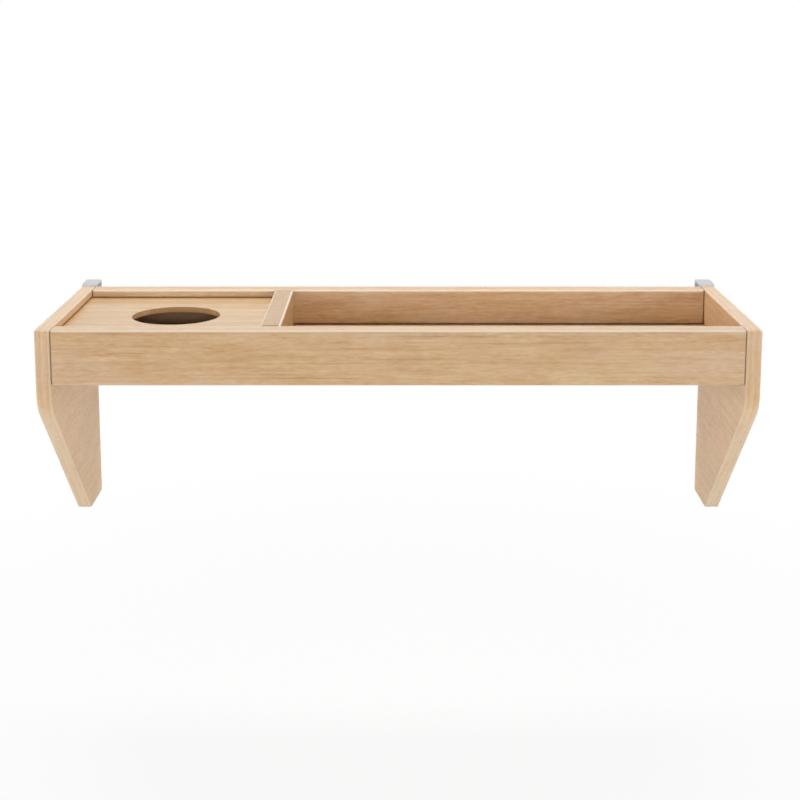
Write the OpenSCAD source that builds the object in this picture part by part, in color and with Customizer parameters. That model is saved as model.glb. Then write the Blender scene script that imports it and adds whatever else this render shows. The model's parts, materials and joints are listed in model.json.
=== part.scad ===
// Wooden shelf with a cup holder, hung on a bed's side rail by two flat hooks.
// The origin is the middle of the hooks' seat, where the top of the bed rail lies.
// +X runs along the shelf, +Y points at the bed and +Z is up.

/* [Shelf] */
// Width over the two end panels
shelf_w = 700; // [560:5:900]
// Depth of the end panels, from front to back
shelf_d = 223; // [190:1:260]

/* [End panels] */
// Thickness of an end panel
panel_t = 15; // [13:0.5:20]
// Height of an end panel
panel_h = 235; // [200:1:300]
// Height from the rails' lower edge down to where the slant meets the front
front_drop = 23; // [16:1:50]
// Depth of the flat bottom
foot_d = 58; // [40:1:90]
// Radius where the front edge turns into the slant
bend_r = 35; // [10:1:40]
// Radius of the two bottom corners
foot_r = 5; // [3:0.5:8]
// Radius of the two top corners
top_r = 2.5; // [1:0.5:5]

/* [Rails] */
// Height of the front and back rails
rail_h = 55; // [50:1:70]
// Thickness of the front and back rails
rail_t = 21.5; // [19:0.5:28]
// Rounding along the edges of rails and divider
rail_edge = 3; // [1:0.5:5]

/* [Bays] */
// Inside width of the cup bay, at the left
cup_bay_w = 200; // [150:1:260]
// Thickness of the divider between the bays
divider_t = 20.5; // [19:0.5:30]

/* [Cup board] */
// Thickness of the cup board
cup_board_t = 6; // [4:0.5:9]
// Depth of the cup board's top below the top of the rails
cup_drop = 9; // [6:0.5:15]
// Diameter of the cup hole
hole_d = 90; // [60:1:110]
// Distance of the hole's centre to the right of the bay's middle
hole_shift = 5.5; // [-20:0.5:20]
// Rounding of the hole's upper rim
rim_r = 1; // [0.5:0.25:2]

/* [Floor board] */
// Thickness of the floor board
floor_t = 6; // [4:0.5:9]
// Height of its underside above the rails' lower edge
floor_lift = 10.5; // [5:0.5:14]

/* [Grooves] */
// Depth of the grooves that hold the boards
groove_d = 5; // [3:0.5:6]
// Play above a board in its groove
groove_play = 0.2; // [0.1:0.05:0.5]
// Gap between a board's edge and the bottom of its groove
groove_end = 0.5; // [0.2:0.1:0.8]

/* [Hooks] */
// Width of the steel strip
strip_w = 16; // [14:0.5:24]
// Thickness of the steel strip
strip_t = 2.5; // [2:0.25:4]
// Inside width of the hook, for the bed rail
throat = 25; // [18:0.5:40]
// Inside radius of the hook's two bends
hook_bend = 2.5; // [1:0.5:5]
// Length of the free leg, below the seat
back_leg = 50; // [30:1:80]
// Radius of the corners at the legs' ends
leg_corner = 3; // [1:0.5:6]

/* [Hook screws] */
// Diameter of a hook screw
hook_screw_d = 4; // [3:0.5:5]
// Diameter of its countersunk head
hook_head_d = 8; // [7:0.5:9]
// Length of a hook screw
hook_screw_l = 25; // [16:1:40]
// Length of the screwed leg below its lower screw
leg_end = 8; // [6:0.5:20]

/* [Rail screws] */
// Diameter of a rail screw
rail_screw_d = 7; // [5:0.5:7.5]
// Diameter of its countersunk head
rail_head_d = 10; // [9:0.5:12]
// Length of a rail screw
rail_screw_l = 50; // [40:1:70]
// Width of the hexagonal socket in its head, across flats
socket_w = 4; // [3:0.5:5]

/* [Dowels] */
// Diameter of a dowel
dowel_d = 8; // [6:0.5:8]
// Length of a dowel
dowel_l = 30; // [25:1:40]
// Depth of a dowel in an end panel
panel_dowel_d = 10; // [8:0.5:12]
// Depth of a dowel in a rail, where it holds the divider
rail_dowel_d = 12; // [8:0.5:15]

/* [Fits] */
// Radial play of screws and dowels in their holes
hole_play = 0.1; // [0.05:0.05:0.2]
// Gap behind the end of a screw or dowel
hole_end = 0.5; // [0.3:0.1:0.9]

/* [Hidden] */
$fn = 64;

// A cutter passes this far beyond the face it opens
past = 1;

// Planes of the shelf
half_w = shelf_w / 2;
inner_x = half_w - panel_t;
back_y = -throat / 2 - strip_t;
front_y = back_y - shelf_d;
bay_front_y = front_y + rail_t;
bay_back_y = back_y - rail_t;
bay_mid_y = (bay_front_y + bay_back_y) / 2;
divider_x = -inner_x + cup_bay_w;
divider_mid_x = divider_x + divider_t / 2;
floor_z = -rail_h + floor_lift;
floor_top_z = floor_z + floor_t;
cup_top_z = -cup_drop;
cup_z = cup_top_z - cup_board_t;
hole_x = -inner_x + cup_bay_w / 2 + hole_shift;
hook_x = half_w - strip_w / 2;
panel_mid_x = half_w - panel_t / 2;

// A board reaches this far into its groove
tongue = groove_d - groove_end;

// Corners of an end panel's side, as depth, height and radius, counter-clockwise
panel_corners = [
    [front_y, 0, top_r],
    [front_y, -rail_h - front_drop, bend_r],
    [back_y - foot_d, -panel_h, foot_r],
    [back_y, -panel_h, foot_r],
    [back_y, 0, top_r]
];

// Where the rails are fixed to an end panel
rail_mid_y = [front_y + rail_t / 2, back_y - rail_t / 2];
rail_screw_z = [-rail_h / 4, -rail_h * 3 / 4];
rail_dowel_z = -rail_h / 2;
divider_dowel_z = [floor_top_z / 4, floor_top_z * 3 / 4];
// The upper hook screw passes between a rail screw and the dowel below it
hook_screw_z = [(rail_screw_z[0] + rail_dowel_z) / 2, -rail_h];
front_leg = leg_end - hook_screw_z[1];

// Rim of a countersunk head, and the pitch and depth of the threads
head_land = 0.4;
hook_pitch = 2;
hook_thread = 0.7;
rail_pitch = 3;
rail_thread = 1;
// Smooth part of a screw's shank, below the cone of its head
hook_shank = 6;
rail_shank = 12;
cross_w = 0.9;
cross_l = 4.4;
cross_d = 1.5;
socket_d = 2.5;
dowel_chamfer = 1;

// Geometry of a rounded corner
function unit(v) = v / norm(v);
function at(list, i) = list[(i + len(list)) % len(list)];
function spot(c) = [c[0], c[1]];
function to_before(list, i) = unit(spot(at(list, i - 1)) - spot(at(list, i)));
function to_after(list, i) = unit(spot(at(list, i + 1)) - spot(at(list, i)));
function half_angle(list, i) = acos(to_before(list, i) * to_after(list, i)) / 2;
function reach(list, i) = at(list, i)[2] / tan(half_angle(list, i));
function arc_start(list, i) = spot(at(list, i)) + to_before(list, i) * reach(list, i);
function arc_end(list, i) = spot(at(list, i)) + to_after(list, i) * reach(list, i);
function arc_centre(list, i) =
    spot(at(list, i))
    + unit(to_before(list, i) + to_after(list, i)) * at(list, i)[2] / sin(half_angle(list, i));

// Children drawn in depth and height, run along X
module along_x(start, length) {
    translate([start, 0, 0])
        rotate([90, 0, 90])
            linear_extrude(length)
                children();
}

// Children drawn in width and height, run along Y
module along_y(start, length) {
    translate([0, start + length, 0])
        rotate([90, 0, 0])
            linear_extrude(length)
                children();
}

// Box between two opposite corners
module block(low, high) {
    translate(low)
        cube(high - low);
}

// Rectangle from [x, y] with all four corners rounded
module rounded_rectangle(x, y, w, h, r) {
    translate([x + r, y])
        square([w - 2 * r, h]);
    translate([x, y + r])
        square([w, h - 2 * r]);
    for (cx = [x + r, x + w - r], cy = [y + r, y + h - r])
        translate([cx, cy])
            circle(r);
}

// What a rounding takes off a square edge: the solid lies at the left of the
// upright axis and above the level one
module edge_waste(r) {
    difference() {
        translate([-r, -past])
            square([r + past, r + past]);
        translate([-r, r])
            circle(r);
    }
}

// Outline whose corners each have their own radius
module rounded_outline(corners) {
    count = len(corners);
    polygon([for (i = [0:count - 1], end = [0, 1])
        end == 0 ? arc_start(corners, i) : arc_end(corners, i)]);
    for (i = [0:count - 1])
        translate(arc_centre(corners, i))
            circle(corners[i][2]);
}

// Countersunk screw with a ringed thread, its head's face at the origin and
// its tip down
module screw(d, head_d, length, shank, thread, pitch) {
    cone = (head_d - d) / 2;
    start = head_land + cone + shank;
    tip = d / 2;
    rings = floor((length - tip - start) / pitch);
    rotate_extrude()
        polygon(concat(
            [[0, 0], [head_d / 2, 0], [head_d / 2, -head_land], [d / 2, -head_land - cone]],
            [for (i = [0:rings - 1], step = [0, 1])
                step == 0
                    ? [d / 2, -start - i * pitch]
                    : [d / 2 - thread, -start - (i + 0.6) * pitch]],
            [[d / 2 - thread, -length + tip], [0, -length]]
        ));
}

// Hole that a countersunk screw fills, with play all round
module screw_hole(d, head_d, length) {
    cone = (head_d - d) / 2;
    wide = head_d / 2 + hole_play;
    narrow = d / 2 + hole_play;
    rotate_extrude()
        polygon([
            [0, past], [wide, past], [wide, -head_land], [narrow, -head_land - cone],
            [narrow, -length - hole_end], [0, -length - hole_end]
        ]);
}

// Wooden dowel along Z, its lower end at the origin
module dowel() {
    rotate_extrude()
        polygon([
            [0, 0], [dowel_d / 2 - dowel_chamfer, 0], [dowel_d / 2, dowel_chamfer],
            [dowel_d / 2, dowel_l - dowel_chamfer],
            [dowel_d / 2 - dowel_chamfer, dowel_l], [0, dowel_l]
        ]);
}

// Hole that a dowel fills, with play all round
module dowel_hole() {
    translate([0, 0, -hole_end])
        cylinder(h = dowel_l + 2 * hole_end, r = dowel_d / 2 + hole_play);
}

// Places of the left panel's fixings, with Z turned along the fixing
module at_rail_screws() {
    for (y = rail_mid_y, z = rail_screw_z)
        translate([-half_w, y, z])
            rotate([0, -90, 0])
                children();
}

module at_rail_dowels() {
    for (y = rail_mid_y)
        translate([-inner_x - panel_dowel_d, y, rail_dowel_z])
            rotate([0, 90, 0])
                children();
}

module at_hook_screws() {
    for (z = hook_screw_z)
        translate([-panel_mid_x, -throat / 2, z])
            rotate([-90, 0, 0])
                children();
}

// Places of the dowels between the divider and one rail
module at_front_divider_dowels() {
    for (z = divider_dowel_z)
        translate([divider_mid_x, bay_front_y - rail_dowel_d, z])
            rotate([-90, 0, 0])
                children();
}

module at_back_divider_dowels() {
    for (z = divider_dowel_z)
        translate([divider_mid_x, bay_back_y + rail_dowel_d, z])
            rotate([90, 0, 0])
                children();
}

// Fixings of one end, and the holes for them
module rail_screw() {
    difference() {
        screw(rail_screw_d, rail_head_d, rail_screw_l, rail_shank, rail_thread, rail_pitch);
        translate([0, 0, -socket_d])
            cylinder(h = socket_d + past, r = socket_w / sqrt(3), $fn = 6);
    }
}

module hook_screw() {
    difference() {
        screw(hook_screw_d, hook_head_d, hook_screw_l, hook_shank, hook_thread, hook_pitch);
        for (turn = [0, 90])
            rotate([0, 0, turn])
                translate([-cross_l / 2, -cross_w / 2, -cross_d])
                    cube([cross_l, cross_w, cross_d + past]);
    }
}

module left_end_holes() {
    at_rail_screws()
        screw_hole(rail_screw_d, rail_head_d, rail_screw_l);
    at_rail_dowels()
        dowel_hole();
}

module both_end_holes() {
    left_end_holes();
    mirror([1, 0, 0])
        left_end_holes();
}

module hook_screw_holes() {
    at_hook_screws()
        screw_hole(hook_screw_d, hook_head_d, hook_screw_l);
}

// Space that the grooves for a board take out of everything round it
module board_groove(left, right, bottom, thickness) {
    block(
        [left - groove_d, bay_front_y - groove_d, bottom],
        [right + groove_d, bay_back_y + groove_d, bottom + thickness + groove_play]
    );
}

module board(left, right, bottom, thickness) {
    block(
        [left - tongue, bay_front_y - tongue, bottom],
        [right + tongue, bay_back_y + tongue, bottom + thickness]
    );
}

module floor_groove() {
    board_groove(-inner_x, inner_x, floor_z, floor_t);
}

module cup_groove() {
    board_groove(-inner_x, divider_x, cup_z, cup_board_t);
}

module end_panel_plate() {
    along_x(-half_w, panel_t)
        rounded_outline(panel_corners);
}

module rail(start_y) {
    along_x(-inner_x, 2 * inner_x)
        rounded_rectangle(start_y, -rail_h, rail_t, rail_h, rail_edge);
}

// Side of a hook, in depth and height
module hook_side() {
    bend = hook_bend + strip_t;
    outside = throat / 2 + strip_t;
    translate([-outside, -front_leg])
        square([strip_t, front_leg - hook_bend]);
    translate([outside - strip_t, -back_leg])
        square([strip_t, back_leg - hook_bend]);
    translate([-outside + bend, 0])
        square([2 * (outside - bend), strip_t]);
    for (side = [0, 1])
        mirror([side, 0])
            translate([-outside + bend, -hook_bend])
                intersection() {
                    difference() {
                        circle(bend);
                        circle(hook_bend);
                    }
                    translate([-bend, 0])
                        square([bend, bend]);
                }
}

// What rounds the lower corners of a hook's leg
module leg_waste(start_y, bottom) {
    for (side = [0, 1])
        translate([-hook_x, 0, 0])
            mirror([side, 0, 0])
                along_y(start_y - past, strip_t + 2 * past)
                    translate([strip_w / 2, bottom])
                        edge_waste(leg_corner);
}

module hook() {
    difference() {
        along_x(-half_w, strip_w)
            hook_side();
        leg_waste(-throat / 2 - strip_t, -front_leg);
        leg_waste(throat / 2, -back_leg);
        hook_screw_holes();
    }
}

module left_end_panel() {
    color("burlywood")
        difference() {
            end_panel_plate();
            left_end_holes();
            hook_screw_holes();
            floor_groove();
            cup_groove();
        }
}

module right_end_panel() {
    color("burlywood")
        mirror([1, 0, 0])
            difference() {
                end_panel_plate();
                left_end_holes();
                hook_screw_holes();
                floor_groove();
            }
}

module front_rail() {
    color("tan")
        difference() {
            rail(front_y);
            both_end_holes();
            floor_groove();
            cup_groove();
            at_front_divider_dowels()
                dowel_hole();
        }
}

module back_rail() {
    color("tan")
        difference() {
            rail(bay_back_y);
            both_end_holes();
            floor_groove();
            cup_groove();
            at_back_divider_dowels()
                dowel_hole();
        }
}

module divider() {
    color("wheat")
        difference() {
            along_y(bay_front_y, bay_back_y - bay_front_y)
                intersection() {
                    rounded_rectangle(divider_x, -rail_h, divider_t, rail_h, rail_edge);
                    translate([divider_x - past, floor_top_z])
                        square([divider_t + 2 * past, past - floor_top_z]);
                }
            cup_groove();
            at_front_divider_dowels()
                dowel_hole();
            at_back_divider_dowels()
                dowel_hole();
        }
}

module cup_board() {
    color("blanchedalmond")
        difference() {
            board(-inner_x, divider_x, cup_z, cup_board_t);
            translate([hole_x, bay_mid_y, cup_z - past]) {
                cylinder(h = cup_board_t + 2 * past, d = hole_d);
                translate([0, 0, cup_board_t + past])
                    rotate_extrude()
                        translate([hole_d / 2, 0])
                            rotate(180)
                                edge_waste(rim_r);
            }
        }
}

module floor_board() {
    color("blanchedalmond")
        board(-inner_x, inner_x, floor_z, floor_t);
}

module left_hook() {
    color("silver")
        hook();
}

module right_hook() {
    color("silver")
        mirror([1, 0, 0])
            hook();
}

module left_hook_screws() {
    color("gainsboro")
        at_hook_screws()
            hook_screw();
}

module right_hook_screws() {
    color("gainsboro")
        mirror([1, 0, 0])
            at_hook_screws()
                hook_screw();
}

module left_rail_screws() {
    color("gainsboro")
        at_rail_screws()
            rail_screw();
}

module right_rail_screws() {
    color("gainsboro")
        mirror([1, 0, 0])
            at_rail_screws()
                rail_screw();
}

module left_rail_dowels() {
    color("navajowhite")
        at_rail_dowels()
            dowel();
}

module right_rail_dowels() {
    color("navajowhite")
        mirror([1, 0, 0])
            at_rail_dowels()
                dowel();
}

module front_divider_dowels() {
    color("navajowhite")
        at_front_divider_dowels()
            dowel();
}

module back_divider_dowels() {
    color("navajowhite")
        at_back_divider_dowels()
            dowel();
}

left_end_panel();
right_end_panel();
front_rail();
back_rail();
divider();
cup_board();
floor_board();
left_hook();
right_hook();
left_hook_screws();
right_hook_screws();
left_rail_screws();
right_rail_screws();
left_rail_dowels();
right_rail_dowels();
front_divider_dowels();
back_divider_dowels();
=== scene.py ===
import json
import math

import bmesh
import bpy
from mathutils import Matrix, Vector


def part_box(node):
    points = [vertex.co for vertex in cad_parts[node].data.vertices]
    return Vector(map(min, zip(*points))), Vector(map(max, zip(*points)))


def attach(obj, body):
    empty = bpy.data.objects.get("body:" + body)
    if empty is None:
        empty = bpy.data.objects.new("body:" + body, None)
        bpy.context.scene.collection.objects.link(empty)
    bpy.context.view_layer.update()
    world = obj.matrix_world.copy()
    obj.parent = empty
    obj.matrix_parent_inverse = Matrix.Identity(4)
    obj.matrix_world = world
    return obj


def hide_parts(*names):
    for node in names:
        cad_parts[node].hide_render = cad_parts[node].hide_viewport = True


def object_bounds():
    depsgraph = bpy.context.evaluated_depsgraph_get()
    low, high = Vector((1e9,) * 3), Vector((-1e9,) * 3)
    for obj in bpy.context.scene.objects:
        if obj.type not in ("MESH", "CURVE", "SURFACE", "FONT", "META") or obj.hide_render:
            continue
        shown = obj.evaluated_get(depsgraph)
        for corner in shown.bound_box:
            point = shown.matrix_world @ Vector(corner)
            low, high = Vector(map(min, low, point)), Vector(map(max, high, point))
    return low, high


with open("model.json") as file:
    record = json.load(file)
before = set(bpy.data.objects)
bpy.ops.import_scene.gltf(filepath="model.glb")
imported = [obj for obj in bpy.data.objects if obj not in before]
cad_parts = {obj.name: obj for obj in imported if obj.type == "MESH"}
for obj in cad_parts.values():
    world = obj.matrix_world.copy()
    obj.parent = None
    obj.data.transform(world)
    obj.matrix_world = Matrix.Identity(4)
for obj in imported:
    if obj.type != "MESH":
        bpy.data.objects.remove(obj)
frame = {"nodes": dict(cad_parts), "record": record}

bl_info = {
    "name": "Hanging bed shelf",
    "version": (1, 0, 0),
    "blender": (4, 5, 0),
    "location": "3D Viewport > Sidebar > Bed shelf",
    "description": "Wooden shelf with a cup hole, hung on a bed's rail by two bent steel strips",
    "category": "Object",
}

MM = 0.001
BODY = "root"
CAD_LOW, CAD_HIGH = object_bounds()
CUP_HOLE = next(m for m in frame["record"]["mounts"] if m["name"] == "cup_hole")

# A large flat keeps a flat shade when its rim has a second, close row of points
RIM_ROW = 0.3 * MM
# Play of boards, screws and dowels in their grooves and holes. The gap above a
# board shows as a dark line
GROOVE_PLAY = {"floor_board": 1.2 * MM, "cup_board": 1.7 * MM}
GROOVE_END = 0.5 * MM
HOLE_PLAY, HOLE_END = 0.1 * MM, 0.5 * MM
DOWEL_RADIUS = 4 * MM
# How far a cutter reaches past the face that it cuts through
OVERCUT = 1 * MM


# ---- Settings ----------------------------------------------------------------


def linear(value):
    """The light that a screen gives for a colour value from 0 to 255."""
    value /= 255
    return value / 12.92 if value <= 0.04045 else ((value + 0.055) / 1.055) ** 2.4


def length(name, description, millimetres):
    """A size to set, given here in millimetres and kept in metres."""
    return bpy.props.FloatProperty(
        name=name, description=description, default=millimetres * MM,
        min=0, precision=5, unit="LENGTH",
    )


def colour(name, description, *screen):
    """A colour to set, given here by its three values on a screen, from 0 to 255."""
    return bpy.props.FloatVectorProperty(
        name=name, description=description, subtype="COLOR",
        default=[linear(value) for value in screen], min=0, max=1,
    )


def strength(name, description, default):
    """A light's strength to set."""
    return bpy.props.FloatProperty(name=name, description=description, default=default, min=0)


def power(name, description, watts):
    """A lamp's power to set."""
    return bpy.props.FloatProperty(
        name=name, description=description, default=watts, min=0, subtype="POWER", unit="POWER",
    )


class ShelfSizes(bpy.types.PropertyGroup):
    """Sizes of the details that the frame's boxes don't give."""

    panel_edge: length("Panel edge", "Rounding along the edges of the end panels", 1.8)
    panel_top: length("Panel top corners", "Radius of the end panels' two top corners", 2.5)
    panel_bend: length("Panel bend", "Radius where a panel's front turns into its slant", 35)
    panel_foot: length("Panel foot corners", "Radius of the end panels' two bottom corners", 5)
    front_drop: length("Front drop", "From the rails' lower edge to the slant's corner", 23)
    foot_depth: length("Foot depth", "Depth of an end panel's flat bottom", 58)
    rail_edge: length("Rail edge", "Rounding along the rails and the divider", 3)
    rail_end: length("Rail end", "Rounding of the rails' ends, a fine groove at each joint", 1.8)
    divider_end: length("Divider end", "Rounding round the divider's ends", 0.6)
    board_edge: length("Board edge", "Rounding along the boards' edges", 0.4)
    board_corner: length("Board corner", "Radius of the boards' hidden corners", 1.5)
    hole_rim: length("Hole rim", "Rounding of the cup hole's upper rim", 1)
    strip_bend: length("Strip bend", "Inside radius of a hook's bends", 1)
    strip_corner: length("Strip corner", "Radius of the corners at a hook's ends", 3)
    strip_edge: length("Strip edge", "Rounding along a hook's edges", 0.35)
    free_leg: length("Free leg", "Length of a hook's leg behind the bed's rail", 50)
    ply: length("Ply", "Thickness of one layer of the end panels", 3)


class ShelfColours(bpy.types.PropertyGroup):
    """Colours of the finishes."""

    front_light: colour("Light front rail", "Palest colour of the front rail", 224, 196, 164)
    front_dark: colour("Dark front rail", "Colour of the front rail's grain lines", 202, 158, 117)
    wood_streak: colour("Streak", "Colour of the few reddish streaks", 168, 110, 76)
    wood_blush: colour("Blush", "Colour of the rosy patches", 215, 178, 142)
    wood_honey: colour("Honey", "What the yellower parts' colour is multiplied by", 253, 250, 234)
    # Painted highlight: the rounded edges of the wood are blended towards this colour
    edge_highlight_colour: colour("Edge", "Colour of the painted highlight on the rounded edges", 233, 214, 190)
    # The sawn ends' own darker end grain, made darker still as painted shade in the joints'
    # grooves
    end_grain_and_joint_shade: colour("End grain", "Colour of the rails' sawn ends", 128, 92, 60)
    back_light: colour("Light back rail", "Palest colour of the back rail", 226, 204, 178)
    back_dark: colour("Dark back rail", "Colour of the back rail's grain lines", 204, 165, 130)
    divider_light: colour("Light divider", "Palest colour of the divider", 201, 171, 133)
    divider_dark: colour("Dark divider", "Colour of the divider's grain lines", 181, 141, 95)
    panel_light: colour("Light panel", "Palest colour of the end panels", 232, 203, 169)
    panel_dark: colour("Dark panel", "Colour of the end panels' grain lines", 209, 168, 122)
    board_light: colour("Light board", "Palest colour of the two boards", 223, 192, 150)
    board_dark: colour("Dark board", "Colour of the boards' grain lines", 201, 162, 116)
    dowel_light: colour("Light dowel", "Palest colour of the dowels", 214, 178, 132)
    dowel_dark: colour("Dark dowel", "Colour of the dowels' grain", 184, 140, 96)
    strip: colour("Hook steel", "Colour of the two hooks", 210, 211, 212)
    screw: colour("Screw steel", "Colour of the screws", 196, 198, 202)
    floor: colour("Floor", "Colour of the studio floor", 240, 240, 239)


class StudioSettings(bpy.types.PropertyGroup):
    """Light of the studio."""

    floor_drop: length("Floor drop", "From the shelf's lowest point to the floor", 250)
    floor_glow: strength("Floor glow", "Part of the floor's light that it gives off itself", 0.25)
    zenith: strength("Zenith", "Strength of the light that falls from high up", 0.05)
    horizon: strength("Horizon", "Strength of the level light from all round", 0.12)
    top_power: power("Top light", "Power of the strip light above the shelf", 19.5)
    side_power: power("Side lights", "Power of each softbox left and right in front", 17)
    back_power: power("Back lights", "Power of each softbox left and right behind", 7)
    fill_power: power("Fill light", "Power of the low softbox straight behind", 6)
    front_power: power("Front light", "Power of the low softbox straight in front", 15.4)


# ---- Node expressions --------------------------------------------------------


class Value:
    """A node's output. Sums with it are written in Python and add Math nodes."""

    def __init__(self, graph, socket):
        self.graph, self.socket = graph, socket

    def __add__(self, other):
        return self.graph.sum("ADD", self, other)

    def __sub__(self, other):
        return self.graph.sum("SUBTRACT", self, other)

    def __rsub__(self, other):
        return self.graph.sum("SUBTRACT", other, self)

    def __mul__(self, other):
        return self.graph.sum("MULTIPLY", self, other)

    def __truediv__(self, other):
        return self.graph.sum("DIVIDE", self, other)

    def __rtruediv__(self, other):
        return self.graph.sum("DIVIDE", other, self)

    def __neg__(self):
        return self.graph.sum("MULTIPLY", self, -1)

    __radd__ = __add__
    __rmul__ = __mul__


class Graph:
    """Adds nodes to a shader or geometry tree."""

    def __init__(self, tree):
        self.tree = tree

    @staticmethod
    def pick(sockets, key):
        """A socket by its number, identifier or name."""
        if isinstance(key, int):
            return sockets[key]
        return next(s for s in sockets if key in (s.identifier, s.name))

    def add(self, kind, settings=None, inputs=None, output=0):
        """Add a node: its settings first, then the values or links of its sockets."""
        node = self.tree.nodes.new(kind)
        for name, value in (settings or {}).items():
            setattr(node, name, value)
        for key, value in (inputs or {}).items():
            self.feed(self.pick(node.inputs, key), value)
        return Value(self, self.pick(node.outputs, output))

    def feed(self, socket, value):
        """Link an output to a socket, or set the socket to a number, colour or vector."""
        if isinstance(value, Value):
            self.tree.links.new(value.socket, socket)
        else:
            socket.default_value = value

    def sum(self, operation, *terms):
        """A Math node on values and numbers."""
        return self.add("ShaderNodeMath", {"operation": operation}, dict(enumerate(terms)))

    def most(self, a, b):
        """The greater of two values."""
        return self.sum("MAXIMUM", a, b)

    def least(self, a, b):
        """The smaller of two values."""
        return self.sum("MINIMUM", a, b)

    def step(self, value, low, high):
        """0 below low and 1 above high, smooth in between."""
        return self.add(
            "ShaderNodeMapRange", {"interpolation_type": "SMOOTHSTEP"},
            {"Value": value, "From Min": low, "From Max": high},
        )

    def blend(self, amount, a, b, kind="MIX"):
        """A colour between a and b, or between a and a times b."""
        a, b = (c if isinstance(c, Value) else (*c, 1) for c in (a, b))
        return self.add(
            "ShaderNodeMix", {"data_type": "RGBA", "blend_type": kind},
            {"Factor_Float": amount, "A_Color": a, "B_Color": b}, "Result_Color",
        )

    def split(self, vector):
        """The three values of a vector."""
        first = self.add("ShaderNodeSeparateXYZ", {}, {"Vector": vector})
        return [Value(self, socket) for socket in first.socket.node.outputs]

    def place(self, kind="Object"):
        """Texture coordinates."""
        return self.add("ShaderNodeTexCoord", output=kind)

    def noise(self, place, scales, detail, rough=0.5):
        """Noise with this many lumps a metre along each axis."""
        drawn = self.add(
            "ShaderNodeVectorMath", {"operation": "MULTIPLY"}, {0: place, 1: scales},
        )
        return self.add(
            "ShaderNodeTexNoise", {},
            {"Vector": drawn, "Scale": 1, "Detail": detail, "Roughness": rough},
        )

    def bump(self, height, share, distance):
        """A normal for a surface that height raises by up to distance, times share."""
        return self.add(
            "ShaderNodeBump", {},
            {"Strength": share, "Distance": distance, "Height": height}, "Normal",
        )


# ---- Finishes ----------------------------------------------------------------


def new_material(name):
    """An empty material's graph and its shader node."""
    material = bpy.data.materials.new(name)
    material.use_nodes = True
    graph = Graph(material.node_tree)
    return material, graph, material.node_tree.nodes["Principled BSDF"]


def wire(graph, shader, **links):
    """Link or set the shader's own sockets."""
    for name, value in links.items():
        graph.feed(shader.inputs[name.replace("_", " ")], value)


def shaded(tint, factor):
    """A colour made darker or lighter."""
    return tuple(min(c * factor, 1) for c in tint)


# Where in the tree each piece is cut, as the offset of its grain in metres
CUT_FROM = {
    "left_end_panel": 2.7, "right_end_panel": 5.9, "front_rail": 0.4, "back_rail": 9.3,
    "divider": 4.1, "cup_board": 6.6, "floor_board": 1.3, "dowels": 3.3,
}
# Turns that bring a piece's grain onto the texture's X axis
GRAIN_TURN = {"X": (0, 0, 0), "Y": (0, 0, -math.pi / 2)}
# Where the tree's pith lies from the turned texture's X axis, across and up
PITH_ACROSS, PITH_UP = 310 * MM, 52 * MM
# How far the year rings sway and ripple along a piece
SWAY, RIPPLE = 45 * MM, 7 * MM
# Number of the layer at the origin, high enough that none falls below zero
LAYER_START = 1000
# The varnish's usual weight
FULL_GLOSS = 0.65


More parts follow.
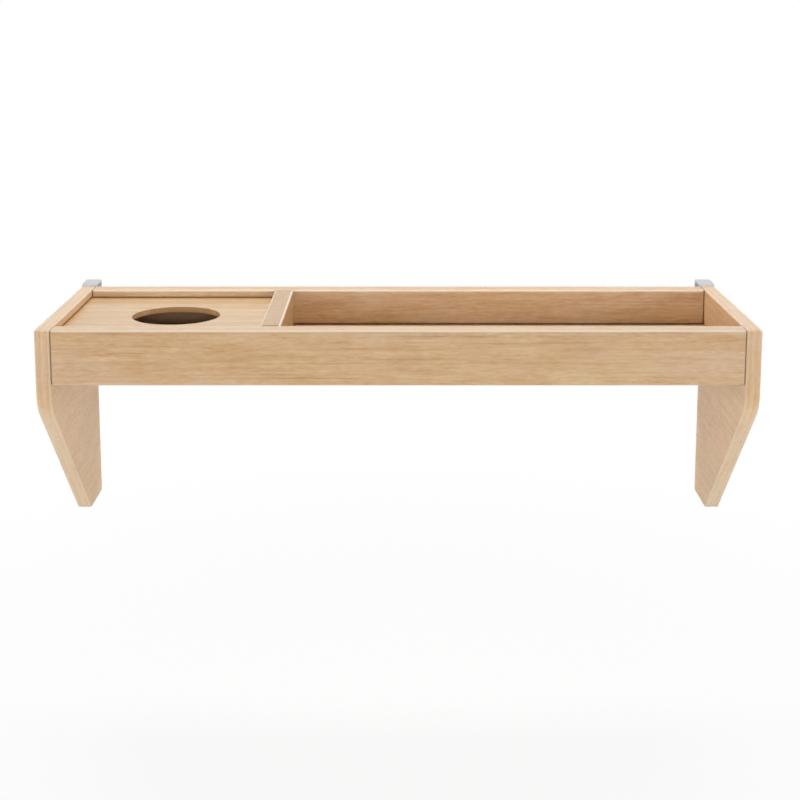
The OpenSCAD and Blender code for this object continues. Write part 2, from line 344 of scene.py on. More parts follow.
def wood(
    name, grain, light, dark, tints, start, ring=6 * MM, figure=1.0, lines=0.0,
    sheet=None, ply=0.0, ends=0.8, gloss=FULL_GLOSS,
):
    """Clear-varnished pale hardwood.

    The grain runs along one axis, start picks another part of the same tree, ring
    is the distance between year rings, figure scales the contrast and lines adds
    straight lines along the grain, as on a veneer. sheet is the axis across a
    board of glued layers, each ply thick. tints are the colours of the dark
    streaks, the rosy and yellow patches, the painted highlight on the rounded
    edges and the sawn ends, whose darker end grain also stands in for painted
    shade in the joints. ends is how much of the last one the ends of solid wood
    take on, and for a board how much darker its narrow faces are. gloss is the
    varnish's weight.
    """
    streak, blush, honey, pale, end_grain_and_shade = tints
    material, graph, shader = new_material(name)
    place = graph.place()
    sides = graph.split(graph.place("Normal"))
    facing = {axis: graph.sum("ABSOLUTE", n) for axis, n in zip("XYZ", sides)}
    moved = (start, start / 7, start / 11)
    turned = graph.add(
        "ShaderNodeMapping", {},
        {"Vector": place, "Rotation": GRAIN_TURN[grain], "Location": moved},
    )

    def noise(along, across, detail=2, rough=0.5):
        """Noise with its lumps drawn out along the grain."""
        return graph.noise(turned, (along, across, across), detail, rough)

    # Year rings round a pith that lies outside the board and wanders along it
    _, across, up = graph.split(turned)
    sway = (noise(6, 12, 1) - 0.5) * SWAY
    ripple = (noise(22, 70) - 0.5) * RIPPLE
    side = across + PITH_ACROSS + sway
    height = up + PITH_UP + ripple - sway
    radius = graph.sum("SQRT", side * side + height * height)
    season = graph.sum("FRACT", radius / ring)
    late = graph.step(season, 0.66, 0.93) * (1 - graph.step(season, 0.93, 1))
    late = late * graph.step(noise(14, 30, 1), 0.42, 0.6)

    # Fibres, patches and marks of several sizes
    fibre = noise(90, 470, rough=0.6)
    strand = noise(14, 340, rough=0.55)
    patch = noise(18, 60, 3, 0.6)
    cloud = noise(24, 75)
    warmth = noise(4.5, 14)
    wisp = graph.step(noise(5, 480, 1), 0.6, 0.74) * graph.step(noise(12, 46), 0.42, 0.6)
    stain = graph.step(noise(34, 130), 0.58, 0.76)
    line = graph.step(noise(1.2, 160), 0.42, 0.68)

    if sheet:
        # The narrow faces show the layers, drawn out along the sheet
        narrow = 1 - graph.step(facing[sheet], 0.35, 0.8)
        scales = [700 if axis == sheet else 18 for axis in "XYZ"]
        fibre = fibre + (graph.noise(place, scales, 2, 0.6) - fibre) * narrow
        strand = 0.5 + (strand - 0.5) * (1 - narrow * 0.8)
    tone = (
        0.46 + late * (0.25 * figure) + (fibre - 0.5) * (1.35 * figure)
        + (strand - 0.5) * (1.2 * figure) + (patch - 0.5) * (1.2 * figure) + line * lines
    )
    if sheet:
        layer = graph.split(place)["XYZ".index(sheet)] / ply + LAYER_START
        odd = graph.step(graph.sum("PINGPONG", layer, 1), 0.42, 0.58)
        joint = 1 - graph.step(graph.sum("PINGPONG", layer, 0.5), 0.02, 0.09)
        # Painted light: the slanted cut through the layers is made paler, as if lit from below
        third = facing[(set("XYZ") - {sheet, grain}).pop()]
        slant_painted_light = narrow * graph.step(third, 0.3, 0.6) * (1 - graph.step(third, 0.85, 0.98))
        tone = tone + narrow * (odd * 0.16 + joint * 0.12 - 0.08 + ends) - slant_painted_light * 0.4
        edge = graph.step(facing[sheet], 0.1, 0.45) * (1 - graph.step(facing[sheet], 0.8, 0.985))
        shine = (gloss + narrow * (FULL_GLOSS - gloss)) * (1 - edge * 0.5)
        # Painted highlight along the rounded edges of the panels
        painted_highlight = edge * 0.55
    else:
        sawn = graph.step(facing[grain], 0.12, 0.6)
        flat = graph.most(graph.most(facing["X"], facing["Y"]), facing["Z"])
        edge = (1 - graph.step(flat, 0.88, 0.992)) * (1 - sawn)
        shine = gloss
        # Painted highlight on the rounded edges, strongest on the upper ones, where a light from
        # above would catch them
        painted_highlight = edge * graph.step(sides[2], -0.1, 0.3)
    tone = graph.add("ShaderNodeClamp", {}, {"Value": tone})
    base = graph.blend(tone, light, dark)
    base = graph.blend(graph.step(warmth, 0.36, 0.64) * figure, base, honey, "MULTIPLY")
    base = graph.blend(graph.step(cloud, 0.44, 0.62) * (0.2 * figure), base, blush)
    base = graph.blend((wisp * 0.4 + stain * 0.12) * figure, base, streak)
    # Painted highlight: the rounded edges are blended towards a pale colour
    base = graph.blend(painted_highlight, base, pale)
    if not sheet:
        # The sawn ends take the end-grain colour: their own darker tone, plus painted shade in
        # the joints
        base = graph.blend(sawn * ends, base, end_grain_and_shade)
    relief = fibre * 0.6 + late * 0.25
    # The varnish is the coat, and the wood below it hardly shines
    wire(
        graph, shader, Base_Color=base, Specular_IOR_Level=0.1, Coat_Roughness=0.22,
        Normal=graph.bump(relief, 0.35, 0.12 * MM),
        Roughness=0.45 + (fibre - 0.5) * 0.2 + (cloud - 0.5) * 0.1,
        Coat_Weight=(1 + (fibre - 0.5) * 0.5 + (cloud - 0.5) * 0.4) * shine,
    )
    return material


def strip_steel(tint):
    """Dull flat strip, brushed lengthwise and softly mottled."""
    material, graph, shader = new_material("hook_strip")
    place = graph.place()
    brushed = graph.noise(place, (2600, 35, 35), 2)
    mottle = graph.noise(place, (160, 160, 160), 3)
    cells = graph.add(
        "ShaderNodeTexVoronoi", {"feature": "F1"}, {"Vector": place, "Scale": 260}, "Color",
    )
    cell = graph.add("ShaderNodeSeparateColor", {}, {"Color": cells})
    tone = 0.5 + (brushed - 0.5) * 0.4 + (mottle - 0.5) * 0.4 + (cell - 0.5) * 0.2
    wire(
        graph, shader, Base_Color=graph.blend(tone, shaded(tint, 0.89), shaded(tint, 1.06)),
        Metallic=0.6, Normal=graph.bump(brushed, 0.2, 0.05 * MM),
        Roughness=0.58 + (mottle - 0.5) * 0.2 + (brushed - 0.5) * 0.12,
    )
    return material


def screw_steel(tint):
    """Bright plating with a fine tooth, dulled in places."""
    material, graph, shader = new_material("screw_plating")
    place = graph.place()
    dull = graph.step(graph.noise(place, (420, 420, 420), 3), 0.42, 0.7)
    fine = graph.noise(place, (3200, 3200, 3200), 2)
    wire(
        graph, shader, Base_Color=graph.blend(dull * 0.6, tint, shaded(tint, 0.72)),
        Metallic=1.0, Normal=graph.bump(fine, 0.25, 0.04 * MM),
        Roughness=0.26 + dull * 0.16 + (fine - 0.5) * 0.1,
    )
    return material


WHITE = (1, 1, 1, 1)


def seen_white(graph):
    """1 for rays that show the studio: from the camera, a gloss or clear glass."""
    camera = graph.add("ShaderNodeLightPath", output="Is Camera Ray")
    ray = camera.socket.node.outputs
    gloss, clear = (Value(graph, ray[name]) for name in ("Is Glossy Ray", "Is Transmission Ray"))
    return graph.least(camera + gloss + clear, 1)


def floor_paint(tint, glow):
    """Pale floor that keeps a faint shadow near the shelf and fades to white.

    It glows a little itself, like the top of a light table.
    """
    material, graph, shader = new_material("studio_floor")
    nodes = graph.tree.nodes
    nodes.remove(shader)
    place = graph.place()
    away = graph.add("ShaderNodeVectorMath", {"operation": "LENGTH"}, {0: place}, "Value")
    grain = graph.noise(place, (90, 90, 90), 3)
    mottled = graph.blend(grain, tint, shaded(tint, 0.97))
    paint = graph.add("ShaderNodeBsdfDiffuse", {}, {"Color": mottled})
    white = graph.add("ShaderNodeEmission", {}, {"Color": WHITE, "Strength": 1})
    near = 0.9 + graph.step(away, 0.45, 1.1) * 0.1
    amount = graph.most(seen_white(graph) * near, glow)
    surface = graph.add("ShaderNodeMixShader", {}, {0: amount, 1: paint, 2: white})
    graph.feed(nodes["Material Output"].inputs["Surface"], surface)
    return material


# ---- Solids ------------------------------------------------------------------


def to_space(axis, u, v, along):
    """A point of an outline that is seen from the tip of its axis."""
    return Vector({"X": (along, u, v), "Y": (v, along, u), "Z": (u, v, along)}[axis])


def rounded_outline(corners, inset, steps=6):
    """Points round an outline that is moved inwards by inset.

    corners holds (u, v, radius), counter-clockwise. Each gives an arc, with a
    further point close to either end of it.
    """
    points = []
    for i, (u, v, radius) in enumerate(corners):
        corner = Vector((u, v))
        into = (corner - Vector(corners[i - 1][:2])).normalized()
        out = (Vector(corners[(i + 1) % len(corners)][:2]) - corner).normalized()
        side_in, side_out = Vector((-into.y, into.x)), Vector((-out.y, out.x))
        turn = side_in.angle(side_out)
        reach = radius - inset
        centre = corner + (side_in + side_out) * radius / (1 + side_in.dot(side_out))
        turns = [Matrix.Rotation(turn * k / steps, 2) for k in range(steps + 1)]
        arc = [centre - turned @ side_in * reach for turned in turns]
        points += [arc[0] - into * RIM_ROW, *arc, arc[-1] + out * RIM_ROW]
    return points


def rounded_prism(corners, start, end, edge, axis, rounds=5):
    """Mesh of an outline run from start to end along an axis, its end edges rounded."""
    bm = bmesh.new()
    quarter = [math.pi / 2 * k / rounds for k in range(rounds + 1)]
    half = [(edge + RIM_ROW, 0)]
    half += [(edge * (1 - math.sin(a)), edge * (1 - math.cos(a))) for a in quarter]
    half += [(0, edge + RIM_ROW)]
    stations = [(inset, start + run) for inset, run in half]
    stations += [(inset, end - run) for inset, run in reversed(half)]
    rings = [
        [bm.verts.new(to_space(axis, u, v, along)) for u, v in rounded_outline(corners, inset)]
        for inset, along in stations
    ]
    bridge(bm, rings)
    return to_mesh(bm)


def bridge(bm, rings):
    """Close a row of rings into a solid."""
    count = len(rings[0])
    for low, high in zip(rings, rings[1:]):
        for i in range(count):
            j = (i + 1) % count
            bm.faces.new((low[i], low[j], high[j], high[i]))
    bm.faces.new(rings[0][::-1])
    bm.faces.new(rings[-1])


def add_turned(bm, profile, origin, direction, sides=48):
    """Add a turned solid. profile holds (radius, distance along direction), in order."""
    turn = Vector((0, 0, 1)).rotation_difference(Vector(direction))
    rings = []
    for radius, run in profile:
        ring = []
        for k in range(sides):
            angle = 2 * math.pi * k / sides
            spoke = Vector((radius * math.cos(angle), radius * math.sin(angle), run))
            ring.append(bm.verts.new(Vector(origin) + turn @ spoke))
        rings.append(ring)
    bridge(bm, rings)


def add_block(bm, low, high):
    """Add a box between two opposite corners."""
    place = Matrix.Translation((low + high) / 2) @ Matrix.Diagonal((*(high - low), 1))
    bmesh.ops.create_cube(bm, size=1, matrix=place)


def to_mesh(bm):
    """A mesh from a bmesh, which is freed."""
    mesh = bpy.data.meshes.new("solid")
    bm.to_mesh(mesh)
    bm.free()
    return mesh


def add_object(name, mesh):
    """An object in the scene, at the origin."""
    obj = bpy.data.objects.new(name, mesh)
    bpy.context.scene.collection.objects.link(obj)
    return obj


def keep_result(obj):
    """Turn what an object's modifiers make into its plain mesh, and remove them."""
    evaluated = obj.evaluated_get(bpy.context.evaluated_depsgraph_get())
    mesh = bpy.data.meshes.new_from_object(evaluated)
    obj.modifiers.clear()
    old, obj.data = obj.data, mesh
    bpy.data.meshes.remove(old)


def take_out(obj, cutter):
    """Cut a solid's space out of an object."""
    tool = add_object("cutter", cutter)
    boolean = obj.modifiers.new("cut", "BOOLEAN")
    boolean.operation = "DIFFERENCE"
    boolean.solver = "EXACT"
    boolean.object = tool
    keep_result(obj)
    bpy.data.objects.remove(tool)
    bpy.data.meshes.remove(cutter)


def finish_piece(obj, material, node, crease=30):
    """Shade a piece, give it its finish and let it stand for its node."""
    mesh = obj.data
    mesh.materials.clear()
    mesh.materials.append(material)
    mesh.shade_smooth()
    mesh.set_sharp_from_angle(angle=math.radians(crease))
    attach(obj, BODY)
    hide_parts(node)


def box_corners(low, high, radius):
    """Outline of a rectangle as (u, v, radius), counter-clockwise."""
    return [(u, v, radius) for u, v in (
        (low[0], high[1]), (low[0], low[1]), (high[0], low[1]), (high[0], high[1]),
    )]


# ---- Joinery: the grooves and holes that every wooden piece shares ------------


def middle(node):
    """Middle of a node's box."""
    low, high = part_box(node)
    return (low + high) / 2


# The screws of a rail's end and the dowels of the divider, as parts of the height
PAIR = (1 / 4, 3 / 4)
# The screws of a hook, as parts of the height of a rail
HOOK_PAIR = (3 / 8, 1)


def screw_rows():
    """Each row of screws as (node, places of the heads, direction of the tips, screw)."""
    height = -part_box("front_rail")[0].z
    rows = []
    for side, outer, inward in (("left", CAD_LOW.x, 1), ("right", CAD_HIGH.x, -1)):
        rows.append((
            f"{side}_rail_screws",
            [
                Vector((outer, middle(rail).y, -height * part))
                for rail in ("front_rail", "back_rail") for part in PAIR
            ],
            Vector((inward, 0, 0)), RAIL_SCREW,
        ))
        low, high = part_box(f"{side}_hook")
        head = Vector((middle(f"{side}_end_panel").x, low.y + high.z, 0))
        rows.append((
            f"{side}_hook_screws", [head - Vector((0, 0, height * part)) for part in HOOK_PAIR],
            Vector((0, -1, 0)), HOOK_SCREW,
        ))
    return rows


def dowel_rows():
    """Both ends of each dowel's middle line."""
    height = -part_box("front_rail")[0].z
    floor = -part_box("floor_board")[1].z
    rows = []
    for side in ("left", "right"):
        low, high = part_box(f"{side}_rail_dowels")
        for rail in ("front_rail", "back_rail"):
            y = middle(rail).y
            rows.append((Vector((low.x, y, -height / 2)), Vector((high.x, y, -height / 2))))
    for side in ("front", "back"):
        low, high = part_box(f"{side}_divider_dowels")
        x = middle("divider").x
        for part in PAIR:
            rows.append((Vector((x, low.y, -floor * part)), Vector((x, high.y, -floor * part))))
    return rows


# Sizes of the two kinds of screw, by the names of the tree's inputs
RAIL_SCREW = {
    "Length": 50 * MM, "Shank diameter": 7 * MM, "Head diameter": 10 * MM, "Head rim": 0.4 * MM,
    "Plain length": 12 * MM, "Thread pitch": 3 * MM, "Thread depth": 1 * MM,
    "Hexagon drive": True, "Drive length": 4 * MM, "Drive depth": 2.5 * MM,
}
HOOK_SCREW = {
    "Length": 25 * MM, "Shank diameter": 4 * MM, "Head diameter": 8 * MM, "Head rim": 0.4 * MM,
    "Plain length": 6 * MM, "Thread pitch": 2 * MM, "Thread depth": 0.7 * MM,
    "Hexagon drive": False, "Drive length": 4.4 * MM, "Drive width": 0.9 * MM,
    "Drive depth": 1.5 * MM,
}


def joinery():
    """Mesh of all the grooves and holes of the shelf, to be cut out of its pieces."""
    bm = bmesh.new()
    for board, play in GROOVE_PLAY.items():
        low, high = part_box(board)
        ends = Vector((GROOVE_END, GROOVE_END, 0))
        add_block(bm, low - ends, high + ends + Vector((0, 0, play)))
    for _, places, tip, screw in screw_rows():
        wide = screw["Head diameter"] / 2 + HOLE_PLAY
        narrow = screw["Shank diameter"] / 2 + HOLE_PLAY
        rim = screw["Head rim"]
        profile = [
            (wide, -OVERCUT), (wide, rim), (narrow, rim + wide - narrow),
            (narrow, screw["Length"] + HOLE_END),
        ]
        for place in places:
            add_turned(bm, profile, place, tip)
    radius = DOWEL_RADIUS + HOLE_PLAY
    for start, end in dowel_rows():
        along = (end - start).normalized()
        run = (end - start).length + 2 * HOLE_END
        add_turned(bm, [(radius, 0), (radius, run)], start - along * HOLE_END, along)
    return to_mesh(bm)


# ---- Geometry trees for what repeats or follows a path ------------------------


def geometry_tree(name, floats, others=()):
    """A geometry tree with named inputs: its graph and the inputs by name."""
    tree = bpy.data.node_groups.new(name, "GeometryNodeTree")
    face = tree.interface
    face.new_socket("Geometry", in_out="OUTPUT", socket_type="NodeSocketGeometry")
    face.new_socket("Geometry", in_out="INPUT", socket_type="NodeSocketGeometry")
    for label in floats:
        face.new_socket(label, in_out="INPUT", socket_type="NodeSocketFloat")
    for label, kind in others:
        face.new_socket(label, in_out="INPUT", socket_type=kind)
    face.new_socket("Material", in_out="INPUT", socket_type="NodeSocketMaterial")
    graph = Graph(tree)
    source = tree.nodes.new("NodeGroupInput")
    return graph, {s.name: Value(graph, s) for s in source.outputs if s.name}


def end_tree(graph, shape, material):
    """Realize the copies, set their material and link the tree's output."""
    real = graph.add("GeometryNodeRealizeInstances", {}, {"Geometry": shape})
    painted = graph.add("GeometryNodeSetMaterial", {}, {"Geometry": real, "Material": material})
    sink = graph.tree.nodes.new("NodeGroupOutput")
    graph.feed(sink.inputs[0], painted)
    return graph.tree


def run_tree(obj, tree, values):
    """Run a geometry tree on an object with these inputs, and keep the result."""
    modifier = obj.modifiers.new(tree.name, "NODES")
    modifier.node_group = tree
    for item in tree.interface.items_tree:
        if item.in_out == "INPUT" and item.name in values:
            modifier[item.identifier] = values[item.name]
    keep_result(obj)


# Length between a screw's rings of points, points in a ring, and the tip's radius
SCREW_STEP, SCREW_SIDES, SCREW_TIP = 0.25 * MM, 32, 0.02 * MM


def screw_tree():
    """Countersunk screws at the points of a mesh, their heads facing Direction."""
    graph, given = geometry_tree(
        "Countersunk screws",
        [name for name in HOOK_SCREW if name != "Hexagon drive"],
        [("Hexagon drive", "NodeSocketBool"), ("Direction", "NodeSocketVector")],
    )
    # The screw's radius at each step down its middle line
    tip = graph.add("ShaderNodeCombineXYZ", {}, {"Z": -given["Length"]})
    line = graph.add("GeometryNodeCurvePrimitiveLine", {}, {"End": tip})
    line = graph.add(
        "GeometryNodeResampleCurve", {"mode": "LENGTH"}, {"Curve": line, "Length": SCREW_STEP},
    )
    _, _, z = graph.split(graph.add("GeometryNodeInputPosition"))
    depth = -z
    shank = given["Shank diameter"] / 2
    head = given["Head diameter"] / 2
    rim = given["Head rim"]
    cone = head - graph.most(depth - rim, 0)
    threaded = graph.most(depth - (rim + head - shank + given["Plain length"]), 0)
    half_pitch = given["Thread pitch"] / 2
    groove = graph.sum("PINGPONG", threaded, half_pitch) / half_pitch * given["Thread depth"]
    point = graph.most(given["Length"] - depth, SCREW_TIP)
    radius = graph.least(graph.most(cone, shank - groove), point)
    ring = graph.add(
        "GeometryNodeCurvePrimitiveCircle", {}, {"Resolution": SCREW_SIDES, "Radius": 1},
    )
    screw = graph.add(
        "GeometryNodeCurveToMesh", {},
        {"Curve": line, "Profile Curve": ring, "Scale": radius, "Fill Caps": True},
    )
    # The drive: a hexagon that is as long across its flats, or two bars in a cross
    across, deep = given["Drive length"], given["Drive depth"] * 2
    hexagon = graph.add(
        "GeometryNodeMeshCylinder", {},
        {"Vertices": 6, "Radius": across / math.sqrt(3), "Depth": deep},
    )
    spokes = graph.add("GeometryNodeMeshLine", {}, {"Count": 2, "Offset": (0, 0, 0)})
    size = graph.add(
        "ShaderNodeCombineXYZ", {}, {"X": across, "Y": given["Drive width"], "Z": deep},
    )
    bar = graph.add("GeometryNodeMeshCube", {}, {"Size": size})
    spin = graph.add("GeometryNodeInputIndex") * (math.pi / 2)
    spin = graph.add("ShaderNodeCombineXYZ", {}, {"Z": spin})
    cross = graph.add(
        "GeometryNodeInstanceOnPoints", {}, {"Points": spokes, "Instance": bar, "Rotation": spin},
    )
    cross = graph.add("GeometryNodeRealizeInstances", {}, {"Geometry": cross})
    drive = graph.add(
        "GeometryNodeSwitch", {"input_type": "GEOMETRY"},
        {"Switch": given["Hexagon drive"], "False": cross, "True": hexagon},
    )
    screw = graph.add(
        "GeometryNodeMeshBoolean", {"operation": "DIFFERENCE", "solver": "EXACT"},
        {"Mesh 1": screw, "Mesh 2": drive, "Self Intersection": True},
    )
    facing = graph.add(
        "FunctionNodeAlignRotationToVector", {"axis": "Z"}, {"Vector": given["Direction"]},
    )
    placed = graph.add(
        "GeometryNodeInstanceOnPoints", {},
        {"Points": given["Geometry"], "Instance": screw, "Rotation": facing},
    )
    return end_tree(graph, placed, given["Material"])


def strip_tree():
    """A flat strip bent along a path that lies in the YZ plane, its ends' corners rounded."""
    graph, given = geometry_tree("Bent strip", [
        "Width", "Thickness", "Bend radius", "Edge rounding", "Corner radius",
        "Front leg", "Back leg", "Sideways",
    ])
    path = graph.add("GeometryNodeMeshToCurve", {}, {"Mesh": given["Geometry"]})
    path = graph.add(
        "GeometryNodeFilletCurve", {"mode": "POLY"},
        {"Curve": path, "Count": 9, "Radius": given["Bend radius"] + given["Thickness"] / 2},
    )
    path = graph.add(
        "GeometryNodeSetCurveNormal", {"mode": "FREE"}, {"Curve": path, "Normal": (1, 0, 0)},
    )
    section = graph.add(
        "GeometryNodeCurvePrimitiveQuadrilateral", {},
        {"Width": given["Width"], "Height": given["Thickness"]},
    )
    section = graph.add(
        "GeometryNodeFilletCurve", {"mode": "POLY"},
        {"Curve": section, "Count": 3, "Radius": given["Edge rounding"]},
    )
    strip = graph.add(
        "GeometryNodeCurveToMesh", {},
        {"Curve": path, "Profile Curve": section, "Fill Caps": True},
    )
    # Narrow each leg towards its end, as far as its corners' arcs go
    x, y, z = graph.split(graph.add("GeometryNodeInputPosition"))
    front = graph.sum("LESS_THAN", y, 0)
    leg = given["Back leg"] + (given["Front leg"] - given["Back leg"]) * front
    corner = given["Corner radius"]
    within = graph.most(corner - (z + leg), 0) / corner
    loss = corner * (1 - graph.sum("SQRT", graph.most(1 - within * within, 0)))
    x = x * (1 - loss / (given["Width"] / 2)) + given["Sideways"]
    place = graph.add("ShaderNodeCombineXYZ", {}, {"X": x, "Y": y, "Z": z})
    strip = graph.add("GeometryNodeSetPosition", {}, {"Geometry": strip, "Position": place})
    return end_tree(graph, strip, given["Material"])


def point_mesh(points, joined=False):
    """Mesh of loose points, or of one line through them."""
    mesh = bpy.data.meshes.new("points")
    edges = [(i, i + 1) for i in range(len(points) - 1)] if joined else []
    mesh.from_pydata(points, edges, [])
    return mesh


# ---- Operators ---------------------------------------------------------------


def shared_tints(colours):
    """The colours that all the wood shares."""
    return (
        colours.wood_streak, colours.wood_blush, colours.wood_honey, colours.edge_highlight_colour,
        colours.end_grain_and_joint_shade,
    )


class MAKE_OT_end_panels(bpy.types.Operator):
    """Make the two end panels with their rounded edges, holes and grooves"""

    bl_idname = "bed_shelf.end_panels"
    bl_label = "End panels"

    def execute(self, context):
        sizes, colours = context.scene.shelf_sizes, context.scene.shelf_colours
        rail_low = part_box("front_rail")[0].z
        for side in ("left", "right"):
            node = f"{side}_end_panel"
            low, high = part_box(node)
            corners = [
                (low.y, high.z, sizes.panel_top),
                (low.y, rail_low - sizes.front_drop, sizes.panel_bend),
                (high.y - sizes.foot_depth, low.z, sizes.panel_foot),
                (high.y, low.z, sizes.panel_foot),
                (high.y, high.z, sizes.panel_top),
            ]
            mesh = rounded_prism(corners, low.x, high.x, sizes.panel_edge, "X")
            piece = add_object(f"{side}_panel", mesh)
            take_out(piece, joinery())
            finish = wood(
                f"{side}_panel_wood", "Y", colours.panel_light, colours.panel_dark,
                shared_tints(colours), CUT_FROM[node], figure=0.6, sheet="X",
                ply=sizes.ply, ends=0, gloss=0.15,
            )
            finish_piece(piece, finish, node)
        return {"FINISHED"}


class MAKE_OT_rails(bpy.types.Operator):
    """Make the front and back rails"""

    bl_idname = "bed_shelf.rails"
    bl_label = "Rails"

    def execute(self, context):
        sizes, colours = context.scene.shelf_sizes, context.scene.shelf_colours
        for side, gloss, light, dark in (
            ("front", FULL_GLOSS, colours.front_light, colours.front_dark),
            ("back", 0.3, colours.back_light, colours.back_dark),
        ):
            node = f"{side}_rail"
            low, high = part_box(node)
            corners = box_corners(low.yz, high.yz, sizes.rail_edge)
            mesh = rounded_prism(corners, low.x, high.x, sizes.rail_end, "X")
            piece = add_object(f"{side}_rail_wood", mesh)
            take_out(piece, joinery())
            finish = wood(
                f"{side}_rail_grain", "X", light, dark, shared_tints(colours),
                CUT_FROM[node], gloss=gloss,
            )
            finish_piece(piece, finish, node)
        return {"FINISHED"}


class MAKE_OT_divider(bpy.types.Operator):
    """Make the divider between the cup bay and the book bay"""

    bl_idname = "bed_shelf.divider"
    bl_label = "Divider"

    def execute(self, context):
        sizes, colours = context.scene.shelf_sizes, context.scene.shelf_colours
        low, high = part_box("divider")
        # The lower corners stay sharp, but leave room for the rounding of the ends
        foot = sizes.divider_end + 2 * RIM_ROW
        corners = [
            (low.z, low.x, foot), (high.z, low.x, sizes.rail_edge),
            (high.z, high.x, sizes.rail_edge), (low.z, high.x, foot),
        ]
        mesh = rounded_prism(corners, low.y, high.y, sizes.divider_end, "Y")
        piece = add_object("bay_divider", mesh)
        take_out(piece, joinery())
        finish = wood(
            "divider_grain", "Y", colours.divider_light, colours.divider_dark,
            shared_tints(colours), CUT_FROM["divider"], figure=0.5, gloss=0.5,
        )
        finish_piece(piece, finish, "divider")
        return {"FINISHED"}


class MAKE_OT_boards(bpy.types.Operator):
    """Make the cup board with its round hole, and the floor board below it"""

    bl_idname = "bed_shelf.boards"
    bl_label = "Boards"

    def execute(self, context):
        sizes, colours = context.scene.shelf_sizes, context.scene.shelf_colours
        for node in ("cup_board", "floor_board"):
            low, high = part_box(node)
            corners = box_corners(low.xy, high.xy, sizes.board_corner)
            mesh = rounded_prism(corners, low.z, high.z, sizes.board_edge, "Z")
            piece = add_object(f"{node}_veneer", mesh)
            if node == "cup_board":
                take_out(piece, self.cup_space(sizes, low.z, high.z))
            finish = wood(
                f"{node}_grain", "X", colours.board_light, colours.board_dark,
                shared_tints(colours), CUT_FROM[node], ring=3.2 * MM, figure=0.6,
                lines=0.5, sheet="Z", ply=(high.z - low.z) / 3, ends=0.55,
            )
            finish_piece(piece, finish, node)
        return {"FINISHED"}

    @staticmethod
    def cup_space(sizes, bottom, top):
        """Mesh of the space that a cup takes up, flared at the hole's upper rim."""
        radius, rim = CUP_HOLE["dims"]["r_mm"] * MM, sizes.hole_rim
        centre = Vector(CUP_HOLE["pos_m"])
        steps = 6
        profile = [(radius, bottom - OVERCUT), (radius, top - rim - RIM_ROW)]
        for k in range(steps + 1):
            angle = math.pi / 2 * k / steps
            wider, lower = rim * (1 - math.cos(angle)), rim * (1 - math.sin(angle))
            profile.append((radius + wider, top - lower))
        profile.append((radius + rim + OVERCUT, top + OVERCUT))
        profile = [(spoke, height - centre.z) for spoke, height in profile]
        bm = bmesh.new()
        add_turned(bm, profile, centre, (0, 0, 1), sides=128)
        return to_mesh(bm)


class MAKE_OT_hooks(bpy.types.Operator):
    """Bend the two steel hooks and drill them for their screws"""

    bl_idname = "bed_shelf.hooks"
    bl_label = "Hooks"

    def execute(self, context):
        sizes, colours = context.scene.shelf_sizes, context.scene.shelf_colours
        tree = strip_tree()
        steel = strip_steel(colours.strip)
        for side in ("left", "right"):
            node = f"{side}_hook"
            low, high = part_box(node)
            thick = high.z
            # Middle line of the strip, with a point wherever the corners' arcs need one
            arc = [sizes.strip_corner * k for k in (0, 0.03, 0.12, 0.3, 0.6, 1)]
            front, back, crown = low.y + thick / 2, high.y - thick / 2, high.z - thick / 2
            path = [(0, front, low.z + rise) for rise in arc]
            path += [(0, front, crown), (0, back, crown)]
            path += [(0, back, rise - sizes.free_leg) for rise in reversed(arc)]
            piece = add_object(f"{side}_bed_hook", point_mesh(path, joined=True))
            run_tree(piece, tree, {
                "Width": high.x - low.x, "Thickness": thick, "Bend radius": sizes.strip_bend,
                "Edge rounding": sizes.strip_edge, "Corner radius": sizes.strip_corner,
                "Front leg": -low.z, "Back leg": sizes.free_leg,
                "Sideways": (low.x + high.x) / 2, "Material": steel,
            })
            take_out(piece, joinery())
            finish_piece(piece, steel, node, crease=20)
        return {"FINISHED"}


class MAKE_OT_screws(bpy.types.Operator):
    """Make the screws that hold the rails and the hooks"""

    bl_idname = "bed_shelf.screws"
    bl_label = "Screws"

    def execute(self, context):
        tree = screw_tree()
        steel = screw_steel(context.scene.shelf_colours.screw)
        for node, places, tip, screw in screw_rows():
            piece = add_object(f"{node}_plated", point_mesh(places))
            run_tree(piece, tree, {**screw, "Direction": tuple(-tip), "Material": steel})
            finish_piece(piece, steel, node)
        return {"FINISHED"}


class MAKE_OT_dowels(bpy.types.Operator):
    """Finish the dowels of the frame, which keep their shape"""

    bl_idname = "bed_shelf.dowels"
    bl_label = "Dowels"

    def execute(self, context):
        colours = context.scene.shelf_colours
        for grain, nodes in (
            ("X", ("left_rail_dowels", "right_rail_dowels")),
            ("Y", ("front_divider_dowels", "back_divider_dowels")),
        ):
            finish = wood(
                f"dowel_grain_{grain.lower()}", grain, colours.dowel_light, colours.dowel_dark,
                shared_tints(colours), CUT_FROM["dowels"], ring=1.5 * MM, gloss=0.1,
            )
            for node in nodes:
                for slot in frame["nodes"][node].material_slots:
                    slot.material = finish
        return {"FINISHED"}


# From the middle of the floor to its edges, and the squares along each
FLOOR_REACH, FLOOR_SQUARES = 20, 8
# Up to this sine above the level, the sky's light falls off to that from high up
SKY_FALL = 0.36
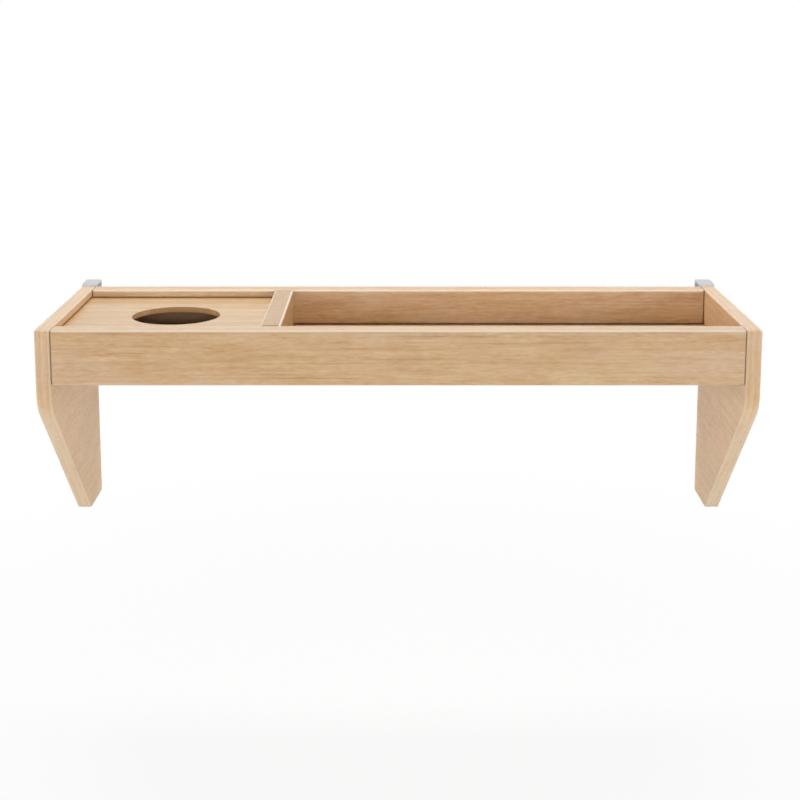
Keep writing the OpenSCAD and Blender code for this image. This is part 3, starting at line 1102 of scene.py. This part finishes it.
# Each softbox: the setting with its power, its place, its width and height, and
# whether the varnish mirrors it
SOFTBOXES = {
    "top_softbox": ("top_power", (0, 0.15, 1.3), (1.6, 0.3), False),
    "front_softbox": ("front_power", (0, -2.4, 0.25), (1.6, 0.5), False),
    "fill_softbox": ("fill_power", (0, 2.4, 0.05), (1.6, 0.5), False),
    "left_softbox": ("side_power", (-2.17, -1.13, 0.38), (1.2, 0.8), False),
    "left_back_softbox": ("back_power", (-2.17, 1.6, 0.1), (1.2, 0.8), True),
    "right_softbox": ("side_power", (2.17, -1.13, 0.38), (1.2, 0.8), False),
    "right_back_softbox": ("back_power", (2.17, 1.6, 0.1), (1.2, 0.8), True),
}
# The photograph's camera: focal length and film width in millimetres, the shift as
# parts of the film's width, its place in metres and how far it looks down
LENS, FILM_WIDTH = 67.03, 36
LENS_SHIFT = (0.00225, -0.2)
CAMERA_PLACE = (0, -1.6346, 0.3139)
CAMERA_DIP = math.radians(9.197)


class MAKE_OT_studio(bpy.types.Operator):
    """Make the floor, the lights and the camera"""

    bl_idname = "bed_shelf.studio"
    bl_label = "Studio"

    def execute(self, context):
        scene, studio = context.scene, context.scene.shelf_studio
        scene.view_settings.view_transform = "Standard"
        bm = bmesh.new()
        bmesh.ops.create_grid(
            bm, x_segments=FLOOR_SQUARES, y_segments=FLOOR_SQUARES, size=FLOOR_REACH,
            matrix=Matrix.Translation((0, 0, CAD_LOW.z - studio.floor_drop)),
        )
        floor = add_object("studio_floor", to_mesh(bm))
        floor.data.materials.append(floor_paint(scene.shelf_colours.floor, studio.floor_glow))
        self.sky(scene, studio.zenith, studio.horizon)
        for name, (setting, place, size, mirrored) in SOFTBOXES.items():
            self.softbox(name, getattr(studio, setting), place, size, mirrored)
        self.camera(scene)
        return {"FINISHED"}

    @staticmethod
    def sky(scene, zenith, horizon):
        """Light from all round, strongest near the level, that looks plain white itself."""
        world = bpy.data.worlds.new("studio_sky")
        world.use_nodes = True
        scene.world = world
        graph = Graph(world.node_tree)
        seen = seen_white(graph)
        _, _, rise = graph.split(graph.place("Generated"))
        glow = zenith + (1 - graph.step(rise, 0, SKY_FALL)) * (horizon - zenith)
        background = world.node_tree.nodes["Background"].inputs
        graph.feed(background["Color"], WHITE)
        graph.feed(background["Strength"], glow * (1 - seen) + seen)

    @staticmethod
    def softbox(name, watts, place, size, mirrored):
        """A rectangular light that faces the shelf."""
        light = bpy.data.lights.new(name, "AREA")
        light.shape = "RECTANGLE"
        light.size, light.size_y = size
        light.energy = watts
        lamp = add_object(name, light)
        lamp.visible_camera = False
        lamp.visible_glossy = mirrored
        lamp.location = place
        aim = (CAD_LOW + CAD_HIGH) / 2 - Vector(place)
        lamp.rotation_euler = aim.to_track_quat("-Z", "Y").to_euler()

    @staticmethod
    def camera(scene):
        """The photograph's camera: above the shelf, nearly level, its lens shifted down."""
        data = bpy.data.cameras.new("photo_camera")
        data.lens, data.sensor_width = LENS, FILM_WIDTH
        data.shift_x, data.shift_y = LENS_SHIFT
        camera = add_object("photo_camera", data)
        camera.location = CAMERA_PLACE
        camera.rotation_euler = (math.pi / 2 - CAMERA_DIP, 0, 0)
        scene.camera = camera


MAKERS = (
    MAKE_OT_end_panels, MAKE_OT_rails, MAKE_OT_divider, MAKE_OT_boards,
    MAKE_OT_hooks, MAKE_OT_screws, MAKE_OT_dowels, MAKE_OT_studio,
)


class MAKE_PT_bed_shelf(bpy.types.Panel):
    """Sidebar panel with the shelf's settings and makers"""

    bl_idname = "MAKE_PT_bed_shelf"
    bl_label = "Bed shelf"
    bl_space_type = "VIEW_3D"
    bl_region_type = "UI"
    bl_category = "Bed shelf"

    def draw(self, context):
        scene = context.scene
        for settings in (scene.shelf_sizes, scene.shelf_colours, scene.shelf_studio):
            box = self.layout.box()
            for name in settings.__annotations__:
                box.prop(settings, name)
        for maker in MAKERS:
            self.layout.operator(maker.bl_idname)


CLASSES = (ShelfSizes, ShelfColours, StudioSettings, *MAKERS, MAKE_PT_bed_shelf)


def register():
    """Register the classes and hang the settings on the scene."""
    for cls in CLASSES:
        bpy.utils.register_class(cls)
    bpy.types.Scene.shelf_sizes = bpy.props.PointerProperty(type=ShelfSizes)
    bpy.types.Scene.shelf_colours = bpy.props.PointerProperty(type=ShelfColours)
    bpy.types.Scene.shelf_studio = bpy.props.PointerProperty(type=StudioSettings)


def unregister():
    """Undo register."""
    del bpy.types.Scene.shelf_sizes, bpy.types.Scene.shelf_colours, bpy.types.Scene.shelf_studio
    for cls in reversed(CLASSES):
        bpy.utils.unregister_class(cls)


def main():
    """Make the whole scene."""
    register()
    bpy.ops.bed_shelf.end_panels()
    bpy.ops.bed_shelf.rails()
    bpy.ops.bed_shelf.divider()
    bpy.ops.bed_shelf.boards()
    bpy.ops.bed_shelf.hooks()
    bpy.ops.bed_shelf.screws()
    bpy.ops.bed_shelf.dowels()
    bpy.ops.bed_shelf.studio()


if __name__ == "__main__":
    main()
